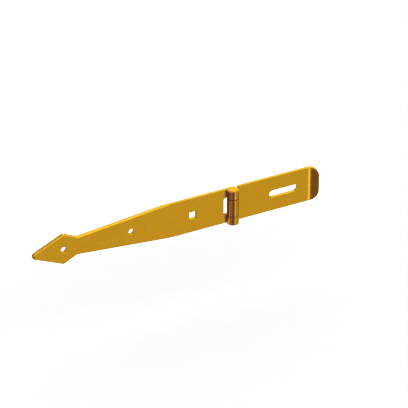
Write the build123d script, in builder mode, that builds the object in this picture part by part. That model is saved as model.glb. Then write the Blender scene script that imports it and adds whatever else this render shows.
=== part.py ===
from build123d import *
import os
from math import asin, cos, radians, sin

# Hinged strap hasp for a gate: a long spear-ended strap leaf, a slotted hasp leaf
# and the riveted pin that joins them. Both leaves are stamped from 3 mm sheet and
# their knuckles are rolled from the same sheet.
#
# Frame, millimetres: +Z up along the pin, +X from the spear point to the hasp tip,
# the gate face of the sheet in the plane Y = 0, its visible face at Y = -3.
# The origin is the centre of the square bolt hole on the gate face.

# sheet and barrel
WIDTH = 35.0  # width of both leaves
SHEET = 3.0  # sheet thickness
BORE_R = 2.6  # inside radius of the rolled knuckles
BARREL_R = BORE_R + SHEET  # outside radius of the rolled knuckles
ROLL = 292.0  # degrees that a knuckle wraps before its end meets the sheet
PIN_X, PIN_Y = 40.05, -BARREL_R  # pin axis
EDGE_FRONT = 0.25  # edge radius on the visible face of the slit edges and the holes
SPEAR_EDGE = 1.8  # edge radius on the visible face of the spear and the taper, rounded in the press
EDGE_BACK = 0.15  # edge radius on the gate face and round the knuckles

# strap leaf, X positions
APEX_X = -165.3  # where the sides of the spear would meet
APEX_R = 3.4  # rounded point
SHOULDER_X, SHOULDER_HALF, SHOULDER_R = -130.2, 15.65, 2.0
NECK_X, NECK_HALF, NECK_R = -116.75, 9.12, 5.0
TAPER_X = -29.9  # start of the parallel run
SPEAR_HOLE_X, MIDDLE_HOLE_X = -130.2, -62.7
SCREW_HOLE_D = 6.0
SQUARE_HOLE, SQUARE_R = 7.5, 0.5  # for the neck of a carriage bolt
WINDOW_X, WINDOW_HALF, WINDOW_R = PIN_X - 8.35, 9.2, 2.5  # clears the hasp knuckle

# hasp leaf
TONGUE_HALF = 8.6  # half length of the hasp's own knuckle
HASP_X = PIN_X + 7.35  # start of the full width
HASP_CORNER_R, HASP_ROOT_R = 1.2, 1.4
SLOT_X, SLOT_LENGTH, SLOT_HEIGHT = 94.6, 30.2, 7.7
BEND_X, BEND_R, BEND_ANGLE = 119.3, 19.0, 17.0  # kick-up of the tip
TIP_FLAT = 6.41  # flat length beyond the bend
TIP_CORNER_R = 10.0

# pin
PIN_R = 2.5  # 5 mm pin, 0.1 mm running clearance in the knuckles
HEAD_R, HEAD_THICK, HEAD_DOME, HEAD_ROUND = 4.9, 0.7, 0.2, 0.6  # formed head, on top
PEEN_R, PEEN_THICK, PEEN_DOME, PEEN_ROUND = 4.3, 0.4, 0.2, 0.25  # riveted end, below

os.makedirs("parts", exist_ok=True)


def in_plane(y):
    """Rim edges of a leaf that lie flat in the plane at this Y."""
    return lambda edge: (
        edge.bounding_box().size.Y < 1e-4 and abs(edge.center(CenterOf.BOUNDING_BOX).Y - y) < 1e-4
    )


def around_pin(radius):
    """Rim edges that run round the roll at this radius."""
    return lambda edge: (
        edge.geom_type == GeomType.CIRCLE
        and abs(edge.radius - radius) < 1e-4
        and abs(edge.arc_center.X - PIN_X) < 1e-4
    )


# ------------------------------------------------- form of the spear and taper
# The sides of the form run straight on past the taper, so that its rounded rims run
# out on the parallel part; a block keeps everything from there to the knuckles.
SLOPE = (WIDTH / 2 - NECK_HALF) / (TAPER_X - NECK_X)
FORM_X = PIN_X + 20
FORM_HALF = NECK_HALF + SLOPE * (FORM_X - NECK_X)
KEEP_X = TAPER_X + 24
with BuildPart() as spear_form:
    with BuildSketch(Plane.XZ.offset(-2)) as outline:
        with BuildLine():
            Polyline(
                (APEX_X, 0),
                (SHOULDER_X, SHOULDER_HALF),
                (NECK_X, NECK_HALF),
                (FORM_X, FORM_HALF),
                (FORM_X, -FORM_HALF),
                (NECK_X, -NECK_HALF),
                (SHOULDER_X, -SHOULDER_HALF),
                close=True,
            )
        make_face()
        fillet(outline.vertices().group_by(Axis.X)[0], APEX_R)
        fillet(outline.vertices().filter_by(lambda v: abs(v.X - SHOULDER_X) < 0.01), SHOULDER_R)
        fillet(outline.vertices().filter_by(lambda v: abs(v.X - NECK_X) < 0.01), NECK_R)
    extrude(amount=2 + SHEET + 0.02)
    rims = spear_form.edges().filter_by(in_plane(-SHEET - 0.02))
    fillet(rims.filter_by(lambda e: e.center().X < FORM_X - 1), SPEAR_EDGE)
    with Locations(((KEEP_X + FORM_X) / 2, -8, 0)):
        Box(FORM_X - KEEP_X, 24, 60)

# ---------------------------------------------------------------- strap leaf
with BuildPart() as strap_leaf:
    # section across the leaf: flat sheet running into the rolled knuckle
    with BuildSketch(Plane.XY.offset(-WIDTH / 2)):
        with BuildLine():
            back = Line((APEX_X - 5, 0), (PIN_X, 0))
            outer = CenterArc((PIN_X, PIN_Y), BARREL_R, 90, -ROLL)
            end = Line(
                outer @ 1,
                (
                    PIN_X + BORE_R * cos(radians(90 - ROLL)),
                    PIN_Y + BORE_R * sin(radians(90 - ROLL)),
                ),
            )
            inner = CenterArc((PIN_X, PIN_Y), BORE_R, 90 - ROLL, ROLL)
            front = Line(inner @ 1, (APEX_X - 5, -SHEET))
            Line(front @ 1, back @ 0)
        make_face()
    extrude(amount=WIDTH)
    # window that takes the hasp's knuckle
    with BuildSketch(Plane.XZ) as window:
        with Locations((WINDOW_X + 10, 0)):
            Rectangle(20, 2 * WINDOW_HALF)
        fillet(window.vertices().group_by(Axis.X)[0], WINDOW_R)
    extrude(amount=40, both=True, mode=Mode.SUBTRACT)
    # fixing holes
    with BuildSketch(Plane.XZ):
        with Locations((SPEAR_HOLE_X, 0), (MIDDLE_HOLE_X, 0)):
            Circle(SCREW_HOLE_D / 2)
    extrude(amount=40, both=True, mode=Mode.SUBTRACT)
    with BuildSketch(Plane.XZ) as square:
        Rectangle(SQUARE_HOLE, SQUARE_HOLE)
        fillet(square.vertices(), SQUARE_R)
    extrude(amount=40, both=True, mode=Mode.SUBTRACT)
    # edges of the visible face, then the spear and taper with their rounded rims, then the gate face
    rims = strap_leaf.edges().filter_by(in_plane(-SHEET)).filter_by(lambda e: e.center().X > APEX_X - 4)
    fillet(rims + strap_leaf.edges().filter_by(around_pin(BORE_R)), EDGE_FRONT)
    add(spear_form.part, mode=Mode.INTERSECT)
    fillet(strap_leaf.edges().filter_by(in_plane(0)) + strap_leaf.edges().filter_by(around_pin(BARREL_R)), EDGE_BACK)
strap_leaf.part.label = "strap_leaf"
export_step(strap_leaf.part, "parts/strap_leaf.step")

# ----------------------------------------------------------------- hasp leaf
TURN = radians(BEND_ANGLE)
BEND_END = (BEND_X + BEND_R * sin(TURN), -SHEET - BEND_R * (1 - cos(TURN)))
TIP_END = (BEND_END[0] + TIP_FLAT * cos(TURN), BEND_END[1] - TIP_FLAT * sin(TURN))
TIP_PLANE = Plane(
    origin=(TIP_END[0], TIP_END[1], 0),
    x_dir=(cos(TURN), -sin(TURN), 0),
    z_dir=(-sin(TURN), -cos(TURN), 0),
)


def on_tip(depth):
    """Rim edges of the bent tip that lie this deep below its visible face."""
    return lambda edge: all(
        abs(TIP_PLANE.to_local_coords(edge.position_at(at)).Z + depth) < 1e-4
        for at in (0.0, 0.5, 1.0)
    )


with BuildPart() as hasp_leaf:
    # section across the leaf: rolled knuckle, flat sheet, kicked-up tip
    with BuildSketch(Plane.XY.offset(-WIDTH / 2)):
        with BuildLine():
            outer = CenterArc((PIN_X, PIN_Y), BARREL_R, 90, ROLL)
            Line(
                outer @ 1,
                (
                    PIN_X + BORE_R * cos(radians(90 + ROLL)),
                    PIN_Y + BORE_R * sin(radians(90 + ROLL)),
                ),
            )
            inner = CenterArc((PIN_X, PIN_Y), BORE_R, 90 + ROLL, -ROLL)
            Line(inner @ 1, (BEND_X, -SHEET))
            CenterArc((BEND_X, -SHEET - BEND_R), BEND_R, 90, -BEND_ANGLE)
            Line(BEND_END, TIP_END)
            tip_back = Line(
                TIP_END, (TIP_END[0] + SHEET * sin(TURN), TIP_END[1] + SHEET * cos(TURN))
            )
            turn_back = CenterArc(
                (BEND_X, -SHEET - BEND_R), BEND_R + SHEET, 90 - BEND_ANGLE, BEND_ANGLE
            )
            Line(tip_back @ 1, turn_back @ 0)
            Line(turn_back @ 1, (PIN_X, 0))
        make_face()
    extrude(amount=WIDTH)
    # outline of the blank: knuckle tongue, then the full width
    with BuildSketch(Plane.XZ) as blank:
        with BuildLine():
            Polyline(
                (PIN_X - 20, TONGUE_HALF),
                (HASP_X, TONGUE_HALF),
                (HASP_X, WIDTH / 2),
                (BEND_X + 40, WIDTH / 2),
                (BEND_X + 40, -WIDTH / 2),
                (HASP_X, -WIDTH / 2),
                (HASP_X, -TONGUE_HALF),
                (PIN_X - 20, -TONGUE_HALF),
                close=True,
            )
        make_face()
        at_root = blank.vertices().filter_by(lambda v: abs(v.X - HASP_X) < 0.01)
        fillet(at_root.filter_by(lambda v: abs(abs(v.Y) - TONGUE_HALF) < 0.01), HASP_ROOT_R)
        fillet(
            blank.vertices()
            .filter_by(lambda v: abs(v.X - HASP_X) < 0.01)
            .filter_by(lambda v: abs(abs(v.Y) - WIDTH / 2) < 0.01),
            HASP_CORNER_R,
        )
    extrude(amount=40, both=True, mode=Mode.INTERSECT)
    # rounded corners of the tip, cut square to the bent face
    with BuildSketch(TIP_PLANE):
        for side in (1, -1):
            with BuildLine():
                Line((-TIP_CORNER_R, side * WIDTH / 2), (-TIP_CORNER_R, side * (WIDTH / 2 + 2)))
                Line((-TIP_CORNER_R, side * (WIDTH / 2 + 2)), (2, side * (WIDTH / 2 + 2)))
                Line((2, side * (WIDTH / 2 + 2)), (2, side * (WIDTH / 2 - TIP_CORNER_R)))
                Line((2, side * (WIDTH / 2 - TIP_CORNER_R)), (0, side * (WIDTH / 2 - TIP_CORNER_R)))
                CenterArc(
                    (-TIP_CORNER_R, side * (WIDTH / 2 - TIP_CORNER_R)), TIP_CORNER_R, 0, side * 90
                )
            make_face()
    extrude(amount=8, both=True, mode=Mode.SUBTRACT)
    # long slot with round ends
    with BuildSketch(Plane.XZ):
        with Locations((SLOT_X, 0)):
            SlotOverall(SLOT_LENGTH, SLOT_HEIGHT)
    extrude(amount=40, both=True, mode=Mode.SUBTRACT)
    # rounded edges left by stamping and plating
    fillet(
        hasp_leaf.edges().filter_by(in_plane(0))
        + hasp_leaf.edges().filter_by(around_pin(BARREL_R))
        + hasp_leaf.edges().filter_by(on_tip(SHEET)),
        EDGE_BACK,
    )
    fillet(
        hasp_leaf.edges().filter_by(in_plane(-SHEET))
        + hasp_leaf.edges().filter_by(around_pin(BORE_R))
        + hasp_leaf.edges().filter_by(on_tip(0)),
        EDGE_FRONT,
    )
hasp_leaf.part.label = "hasp_leaf"
export_step(hasp_leaf.part, "parts/hasp_leaf.step")

# ----------------------------------------------------------------- hinge pin
HALF = WIDTH / 2


def crown(radius, dome):
    """A point half way out on the arc that domes a head of this radius."""
    sphere = (radius**2 + dome**2) / (2 * dome)
    half = asin(radius / sphere) / 2
    return sphere * sin(half), sphere * (1 - cos(half))


with BuildPart() as hinge_pin:
    # half section of the pin: head, shank and riveted end, each slightly domed
    top, bottom = HALF + HEAD_THICK + HEAD_DOME, -HALF - PEEN_THICK - PEEN_DOME
    with BuildSketch(Plane(origin=(PIN_X, PIN_Y, 0), x_dir=(1, 0, 0), z_dir=(0, -1, 0))):
        with BuildLine():
            Line((0, bottom), (0, top))
            out, down = crown(HEAD_R, HEAD_DOME)
            ThreePointArc((0, top), (out, top - down), (HEAD_R, HALF + HEAD_THICK))
            Polyline(
                (HEAD_R, HALF + HEAD_THICK),
                (HEAD_R, HALF),
                (PIN_R, HALF),
                (PIN_R, -HALF),
                (PEEN_R, -HALF),
                (PEEN_R, -HALF - PEEN_THICK),
            )
            out, down = crown(PEEN_R, PEEN_DOME)
            ThreePointArc((PEEN_R, -HALF - PEEN_THICK), (out, bottom + down), (0, bottom))
        make_face()
    revolve(axis=Axis((PIN_X, PIN_Y, 0), (0, 0, 1)))
    rims = hinge_pin.edges().filter_by(GeomType.CIRCLE)
    fillet(rims.filter_by(lambda e: e.radius > PIN_R + 0.01 and e.center().Z > HALF + 0.01), HEAD_ROUND)
    fillet(rims.filter_by(lambda e: e.radius > PIN_R + 0.01 and e.center().Z < -HALF - 0.01), PEEN_ROUND)
hinge_pin.part.label = "hinge_pin"
export_step(hinge_pin.part, "parts/hinge_pin.step")
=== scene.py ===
import math

import bpy
from mathutils import Matrix, Vector

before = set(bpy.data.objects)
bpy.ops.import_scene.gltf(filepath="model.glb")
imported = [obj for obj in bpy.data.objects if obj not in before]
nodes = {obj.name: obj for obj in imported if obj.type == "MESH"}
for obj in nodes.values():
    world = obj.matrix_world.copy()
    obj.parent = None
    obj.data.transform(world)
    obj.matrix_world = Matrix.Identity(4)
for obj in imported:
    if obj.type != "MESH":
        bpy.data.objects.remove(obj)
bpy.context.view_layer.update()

scene = bpy.context.scene
MM = 0.001

# ------------------------------------------------------------------ camera
# Long lens from the spear side, 27.5 degrees left of the visible face and 30.8 above.
AZIMUTH, ELEVATION, DISTANCE, FOCAL = -27.533, 30.800, 2.5024, 240.0
AIM = Vector((17.008, 7.644, 1.653)) * MM
a, e = math.radians(AZIMUTH), math.radians(ELEVATION)
back = Vector((math.sin(a) * math.cos(e), -math.cos(a) * math.cos(e), math.sin(e)))
right = Vector((math.cos(a), math.sin(a), 0.0))
up = back.cross(right)
lens = bpy.data.cameras.new("camera")
lens.sensor_width = 36.0
lens.sensor_fit = "HORIZONTAL"
lens.lens = FOCAL
lens.clip_start, lens.clip_end = 0.05, 200.0
lens.dof.use_dof = False
camera = bpy.data.objects.new("camera", lens)
scene.collection.objects.link(camera)
turn = Matrix((right, up, back)).transposed().to_4x4()
camera.matrix_world = Matrix.Translation(AIM + back * DISTANCE) @ turn
scene.camera = camera

scene.view_settings.view_transform = "Standard"
scene.view_settings.look = "None"
scene.view_settings.exposure = 0.0
scene.view_settings.gamma = 1.0
scene.cycles.filter_width = 1.0  # crisp edges against the white floor


# ------------------------------------------------------------ node helpers
class Graph:
    """Short forms for building a node tree."""

    def __init__(self, tree):
        self.tree = tree
        tree.nodes.clear()

    def node(self, kind, **settings):
        n = self.tree.nodes.new(kind)
        for key, value in settings.items():
            setattr(n, key, value)
        return n

    def put(self, socket, value):
        if isinstance(value, bpy.types.NodeSocket):
            self.tree.links.new(value, socket)
        elif value is not None:
            socket.default_value = value

    def math(self, op, x, y=None, z=None, clamp=False):
        n = self.node("ShaderNodeMath", operation=op, use_clamp=clamp)
        for socket, value in zip(n.inputs, (x, y, z)):
            self.put(socket, value)
        return n.outputs[0]

    def step(self, x, low, high, to_low=0.0, to_high=1.0):
        """Smooth rise from to_low to to_high as x goes from low to high."""
        n = self.node("ShaderNodeMapRange", interpolation_type="SMOOTHSTEP", clamp=True)
        for socket, value in zip(n.inputs, (x, low, high, to_low, to_high)):
            self.put(socket, value)
        return n.outputs[0]

    def band(self, x, low, high, soft):
        """1 between low and high, falling to 0 over soft on both sides."""
        return self.math(
            "MULTIPLY",
            self.step(x, low - soft, low + soft),
            self.step(x, high - soft, high + soft, 1.0, 0.0),
        )

    def times(self, *factors):
        total = factors[0]
        for f in factors[1:]:
            total = self.math("MULTIPLY", total, f)
        return total

    def blend(self, share, x, y, kind="MIX"):
        n = self.node("ShaderNodeMix", data_type="RGBA", blend_type=kind, clamp_factor=True)
        self.put(n.inputs[0], share)
        for socket, value in zip(n.inputs[6:8], (x, y)):
            self.put(socket, (*value, 1.0) if isinstance(value, tuple) else value)
        return n.outputs[2]

    def scaled(self, vector, x, y, z, turn=(0.0, 0.0, 0.0), move=(0.0, 0.0, 0.0)):
        n = self.node("ShaderNodeMapping", vector_type="POINT")
        self.put(n.inputs["Vector"], vector)
        n.inputs["Location"].default_value = move
        n.inputs["Rotation"].default_value = turn
        n.inputs["Scale"].default_value = (x, y, z)
        return n.outputs[0]

    def noise(self, vector, scale, detail=2.0, rough=0.5, twist=0.0):
        n = self.node("ShaderNodeTexNoise", noise_dimensions="3D")
        for name, value in (("Vector", vector), ("Scale", scale), ("Detail", detail), ("Roughness", rough), ("Distortion", twist)):
            self.put(n.inputs[name], value)
        return n.outputs[0]


# ------------------------------------------------------------- studio light
# A surround of soft panels, given by direction: azimuth 0 is in front of the visible
# face, 90 beyond the hasp tip, and elevation is above the horizon, in degrees.
world = bpy.data.worlds.new("studio")
scene.world = world
world.use_nodes = True
g = Graph(world.node_tree)
axes = g.node("ShaderNodeSeparateXYZ")
g.put(axes.inputs[0], g.node("ShaderNodeTexCoord").outputs["Generated"])
azimuth = g.math("MULTIPLY", g.math("ARCTAN2", axes.outputs[0], g.math("MULTIPLY", axes.outputs[1], -1.0)), 180.0 / math.pi)
elevation = g.math("MULTIPLY", g.math("ARCSINE", axes.outputs[2]), 180.0 / math.pi)
# azimuth measured from behind, so that panels may cross the back
behind = g.math("MULTIPLY", g.math("ARCTAN2", g.math("MULTIPLY", axes.outputs[0], -1.0), axes.outputs[1]), 180.0 / math.pi)

PANELS = (
    # measured from, low and high azimuth, low and high elevation, softness, radiance
    (azimuth, 54.0, 76.0, -70.0, -8.0, 7.0, (0.60, 0.57, 0.50)),
    (azimuth, 20.5, 25.0, -66.0, -6.0, 1.5, (0.77, 0.78, 0.78)),
    (azimuth, -90.0, -60.0, -70.0, -10.0, 5.0, (0.42, 0.31, 0.90)),
    (azimuth, -68.0, -36.0, -70.0, -28.5, 2.0, (0.27, 0.19, 0.60)),
    (azimuth, -39.0, 8.3, -66.0, -12.0, 2.5, (0.245, 0.178, 0.65)),
    (azimuth, 10.0, 18.8, -66.0, -6.0, 1.8, (1.90, 2.00, 3.20)),
    (azimuth, -142.0, -97.0, -70.0, -14.0, 4.0, (1.15, 1.12, 1.00)),
    (behind, 9.0, 38.0, -75.0, -22.0, 5.0, (0.72, 0.69, 0.60)),
    (behind, -80.0, -8.0, 13.0, 56.0, 5.0, (1.46, 1.68, 2.00)),
    (behind, 0.0, 45.0, 14.0, 54.0, 6.0, (0.68, 0.68, 0.40)),
    (azimuth, 5.0, 80.0, 32.0, 62.0, 7.0, (1.60, 1.70, 1.90)),
    (azimuth, -175.0, -22.0, 58.0, 96.0, 5.0, (0.82, 0.82, 0.70)),
    (azimuth, -34.0, 5.0, 22.0, 54.0, 6.0, (1.12, 1.12, 1.20)),
)
light = g.blend(g.step(elevation, -12.0, 12.0), (0.80, 0.79, 0.78), (0.95, 0.95, 0.95))
light = g.blend(g.step(elevation, 40.0, 60.0), light, (1.50, 1.50, 1.50))
for around, a0, a1, e0, e1, soft, radiance in PANELS:
    light = g.blend(g.times(g.band(around, a0, a1, soft), g.band(elevation, e0, e1, soft)), light, radiance)
surround = g.node("ShaderNodeBackground")
g.put(surround.inputs["Color"], light)
backdrop = g.node("ShaderNodeBackground")
backdrop.inputs["Color"].default_value = (1.0, 1.0, 1.0, 1.0)
choose = g.node("ShaderNodeMixShader")
g.put(choose.inputs[0], g.node("ShaderNodeLightPath").outputs["Is Camera Ray"])
g.put(choose.inputs[1], surround.outputs[0])
g.put(choose.inputs[2], backdrop.outputs[0])
g.put(g.node("ShaderNodeOutputWorld").inputs["Surface"], choose.outputs[0])

# -------------------------------------------------------------------- floor
FLOOR_Z = -0.10
side = 30.0
sheet = bpy.data.meshes.new("floor")
sheet.from_pydata(
    [(-side, -side, FLOOR_Z), (side, -side, FLOOR_Z), (side, side, FLOOR_Z), (-side, side, FLOOR_Z)], [], [(0, 1, 2, 3)]
)
floor = bpy.data.objects.new("floor", sheet)
scene.collection.objects.link(floor)
paint = bpy.data.materials.new("floor_paint")
paint.use_nodes = True
g = Graph(paint.node_tree)
matt = g.node("ShaderNodeBsdfDiffuse")
grain = g.noise(g.node("ShaderNodeTexCoord").outputs["Object"], 40.0, 3.0)
g.put(matt.inputs["Color"], g.blend(grain, (0.85, 0.83, 0.81), (0.88, 0.86, 0.84)))
g.put(g.node("ShaderNodeOutputMaterial").inputs["Surface"], matt.outputs[0])
sheet.materials.append(paint)
floor.visible_glossy = False

# ------------------------------------------------------------------ plating
# Yellow passivated zinc: a golden metal whose thin film drifts to green and to rose,
# over rolled sheet with faint lengthways grain, sheared edges and rolls with an orange-peel skin.
# Painted reflection and shade darken the rolls, the crook beside them, the window, the screw holes,
# the edge faces and the spear's point; a painted highlight pales the rims of the spear and the taper.
GOLD = (0.660, 0.338, 0.0150)
GREEN_GOLD = (0.610, 0.352, 0.0120)
ROSE_GOLD = (0.690, 0.310, 0.0300)
BROWN_GOLD = (0.500, 0.245, 0.0350)
PALE_GOLD = (0.740, 0.430, 0.0350)
WINDOW_SHADE_BROWN = (0.200, 0.062, 0.0180)
POINT_REFLECTION_BRONZE = (0.280, 0.110, 0.0080)
CROOK_REFLECTION_BROWN = (0.520, 0.230, 0.0900)
CROOK_REFLECTION_RED = (0.500, 0.160, 0.0850)
FLANK_SHADE_BROWN = (0.300, 0.145, 0.0600)
CROOK_REFLECTION_GOLD = (0.700, 0.380, 0.0700)
HEAD_GREEN = (0.595, 0.345, 0.0240)
HEAD_ROSE = (0.665, 0.270, 0.0260)
EDGE_SHADE_GOLD = (0.340, 0.178, 0.0100)
EDGE_TINT = (0.960, 0.780, 0.420, 1.0)
PIN_X, PIN_Y = 40.05, -5.6  # pin axis, millimetres


def plating(name, shift, sheet_metal):
    """Material of one piece; shift moves its pattern, sheet_metal adds the cut edges and rolls of a stamped leaf, with
    their painted reflection, shade and highlight.
    """
    material = bpy.data.materials.new(name)
    material.use_nodes = True
    g = Graph(material.node_tree)
    where = g.node("ShaderNodeTexCoord")
    place = g.scaled(where.outputs["Object"], 1000.0, 1000.0, 1000.0, move=shift)
    xyz = g.node("ShaderNodeSeparateXYZ")
    g.put(xyz.inputs[0], g.scaled(where.outputs["Object"], 1000.0, 1000.0, 1000.0))
    normal = g.node("ShaderNodeSeparateXYZ")
    g.put(normal.inputs[0], where.outputs["Normal"])
    facing = g.math("ABSOLUTE", normal.outputs[1])

    # colour of the film
    drift = g.noise(place, 0.055, 2.0, 0.5, 0.8)
    cloud = g.noise(g.scaled(place, 1.0, 1.0, 1.0, move=(31.0, 7.0, 53.0)), 0.16, 3.0, 0.55, 0.5)
    colour = g.blend(g.step(drift, 0.52, 0.72, 0.0, 0.75), GOLD, GREEN_GOLD)
    colour = g.blend(g.step(cloud, 0.54, 0.74, 0.0, 0.60), colour, ROSE_GOLD)
    mottle = g.noise(place, 0.9, 4.0, 0.6)
    colour = g.blend(1.0, colour, g.blend(g.step(mottle, 0.25, 0.75), (0.94, 0.94, 0.92), (1.05, 1.05, 1.06)), "MULTIPLY")

    # rolled grain, handling scratches and a slight unevenness of the sheet
    grain = g.noise(g.scaled(place, 0.05, 1.0, 1.0), 3.0, 3.0, 0.6)
    scratch = None
    for angle, rare in ((0.35, 0.60), (-0.6, 0.64), (1.25, 0.66)):
        line = g.noise(g.scaled(place, 0.035, 0.4, 2.2, turn=(0.0, angle, 0.0)), 1.0, 0.0)
        line = g.step(g.math("ABSOLUTE", g.math("SUBTRACT", line, 0.5)), 0.0, 0.012, 1.0, 0.0)
        line = g.times(line, g.step(g.noise(g.scaled(place, 1.0, 1.0, 1.0, move=(angle * 90, 3.0, 11.0)), 0.07, 2.0), rare - 0.04, rare + 0.04))
        scratch = line if scratch is None else g.math("MAXIMUM", scratch, line)
    colour = g.blend(g.times(scratch, 0.30), colour, PALE_GOLD)
    rough = g.math("ADD", g.step(mottle, 0.2, 0.8, 0.150, 0.205), g.step(grain, 0.2, 0.8, -0.015, 0.025))
    rough = g.math("ADD", rough, g.times(scratch, 0.08))
    rough = g.math("ADD", rough, g.step(xyz.outputs[0], -95.0, -15.0, -0.080, 0.0))  # smoother towards the spear
    wave = g.noise(place, 0.035, 1.0)
    height = g.math("ADD", g.times(wave, 4.0), g.times(mottle, 0.10))
    height = g.math("ADD", height, g.times(grain, 0.10))
    height = g.math("SUBTRACT", height, g.times(scratch, 0.25))

    metallic = 1.0
    off_x = g.math("SUBTRACT", xyz.outputs[0], PIN_X)
    off_y = g.math("SUBTRACT", xyz.outputs[1], PIN_Y)
    reach = g.math("SQRT", g.math("ADD", g.times(off_x, off_x), g.times(off_y, off_y)))
    if not sheet_metal:
        # on the heads the film drifts from green in the middle to rose at the rim
        outward = g.math("ADD", reach, g.step(cloud, 0.3, 0.7, -0.8, 0.8))
        colour = g.blend(0.80, colour, g.blend(g.step(outward, 1.0, 4.4, 0.15, 0.85), HEAD_GREEN, HEAD_ROSE))
    if sheet_metal:
        # on the rolls round the pin the colour is painted darker and browner, a painted reflection; the rolls also get
        # an orange-peel skin and a little more roughness
        roll_zone = g.step(reach, 5.6, 8.0, 1.0, 0.0)
        peel = g.noise(place, 1.6, 2.0, 0.5)
        colour = g.blend(g.times(roll_zone, g.step(peel, 0.2, 0.8, 0.35, 0.65)), colour, BROWN_GOLD)
        rough = g.math("ADD", rough, g.times(roll_zone, 0.01))
        height = g.math("ADD", height, g.times(peel, roll_zone, 0.35))
        flat = g.math("SUBTRACT", 1.0, roll_zone)
        # sheared edges: a smooth band behind the visible face, then a torn zone with lines through the sheet
        cut = g.times(flat, g.step(facing, 0.10, 0.35, 1.0, 0.0))
        tear = g.noise(g.scaled(place, 1.0, 0.10, 1.0), 2.6, 3.0, 0.6)
        torn = g.times(cut, g.step(g.math("ADD", xyz.outputs[1], g.times(tear, 0.7)), -1.9, -1.2))
        rough = g.math("ADD", rough, g.times(torn, g.step(tear, 0.3, 0.7, 0.03, 0.12)))
        height = g.math("ADD", height, g.times(torn, tear, 0.9))
        colour = g.blend(g.times(torn, 0.25), colour, BROWN_GOLD)
        # within the window and on the roll in it the walls are painted dark brown: painted shade
        window_shade = g.times(g.step(facing, 0.3, 0.6, 1.0, 0.0), g.step(reach, 9.5, 12.0, 1.0, 0.0))
        off_z = g.math("ABSOLUTE", xyz.outputs[2])
        low, high = g.step(off_x, -2.0, 2.0, 11.0, 8.7), g.step(off_x, -2.0, 2.0, 12.5, 9.2)
        window_shade = g.times(window_shade, g.step(off_z, low, high, 1.0, 0.0))
        colour = g.blend(g.times(window_shade, g.step(reach, 5.8, 7.0, 0.72, 0.85)), colour, WINDOW_SHADE_BROWN)
        # the walls of the screw holes are painted browner and darker: painted shade
        for hole_x in (-130.2, -62.7):
            from_x = g.math("SUBTRACT", xyz.outputs[0], hole_x)
            round_it = g.math("SQRT", g.math("ADD", g.times(from_x, from_x), g.times(xyz.outputs[2], xyz.outputs[2])))
            bore = g.times(g.step(facing, 0.3, 0.6, 1.0, 0.0), g.step(round_it, 3.2, 3.5, 1.0, 0.0))
            colour = g.blend(g.times(bore, 0.70), colour, BROWN_GOLD)
        # beside the rolls, on the arms and the flank of the knuckles: painted reflection and shade, brown towards the
        # rolls; the surface there is also rougher and less metallic
        front = g.math("MULTIPLY", normal.outputs[1], -1.0)
        arms = g.times(g.step(off_x, -8.8, -7.8), g.step(off_x, -4.6, -4.2, 1.0, 0.0), g.step(front, 0.5, 0.8))
        flank = g.times(g.step(normal.outputs[0], -0.90, -0.55, 1.0, 0.0), g.step(reach, 5.7, 6.0, 1.0, 0.0))
        crook = g.math("MAXIMUM", arms, g.times(flank, 0.30))
        lower = g.times(g.step(xyz.outputs[2], -4.0, 4.0, 1.0, 0.0), g.step(reach, 5.8, 6.2))
        brown = g.blend(lower, CROOK_REFLECTION_BROWN, CROOK_REFLECTION_RED)  # redder on the lower arm
        colour = g.blend(crook, colour, g.blend(g.step(off_x, -7.6, -6.0), CROOK_REFLECTION_GOLD, brown))
        # painted shade: the left flank of the upper knuckle is darker brown
        colour = g.blend(g.times(flank, g.step(xyz.outputs[2], 9.0, 9.4, 0.0, 0.85)), colour, FLANK_SHADE_BROWN)
        rough = g.math("ADD", rough, g.times(crook, 0.22))
        metallic = g.step(crook, 0.0, 1.0, 1.0, 0.70)
        # the end wall at the spear's point is painted dark bronze: a painted dark reflection
        point = g.times(g.step(facing, 0.3, 0.7, 1.0, 0.0), g.step(xyz.outputs[0], -159.4, -158.2, 1.0, 0.0))
        colour = g.blend(g.times(point, 0.90), colour, POINT_REFLECTION_BRONZE)
        # the edge faces of the parallel parts next to the visible face are painted dark gold: painted shade
        edge_shade = g.times(flat, g.band(xyz.outputs[0], -22.0, 118.0, 8.0), g.step(facing, 0.80, 0.95, 1.0, 0.0))
        edge_shade = g.times(edge_shade, g.step(xyz.outputs[1], -2.55, -2.15, 1.0, 0.0), g.step(off_z, 12.0, 14.0))
        colour = g.blend(g.times(edge_shade, 0.75), colour, EDGE_SHADE_GOLD)
        # rims of the spear and the taper are painted paler gold: painted highlight
        rim = g.times(flat, g.step(facing, 0.15, 0.45), g.step(facing, 0.88, 0.985, 1.0, 0.0))
        rim = g.times(rim, g.step(xyz.outputs[0], -30.0, -14.0, 1.0, 0.0))
        colour = g.blend(g.times(rim, g.step(cloud, 0.3, 0.7, 0.15, 0.65)), colour, PALE_GOLD)

    relief = g.node("ShaderNodeBump")
    relief.inputs["Strength"].default_value = 1.0
    relief.inputs["Distance"].default_value = 0.00002
    g.put(relief.inputs["Height"], height)
    metal = g.node("ShaderNodeBsdfPrincipled")
    g.put(metal.inputs["Metallic"], metallic)
    metal.inputs["Specular Tint"].default_value = EDGE_TINT
    g.put(metal.inputs["Base Color"], colour)
    g.put(metal.inputs["Roughness"], rough)
    g.put(metal.inputs["Normal"], relief.outputs[0])
    g.put(g.node("ShaderNodeOutputMaterial").inputs["Surface"], metal.outputs[0])
    return material


for node, slot, shift, sheet_metal in (
    ("strap_leaf", "strap_plating", (0.0, 0.0, 0.0), True),
    ("hasp_leaf", "hasp_plating", (140.0, 60.0, 25.0), True),
    ("hinge_pin", "pin_plating", (-75.0, 30.0, 90.0), False),
):
    coat_and_painted_light = plating(slot + "_finish", shift, sheet_metal)
    piece = nodes[node]
    piece.data.materials.clear()
    piece.data.materials.append(coat_and_painted_light)
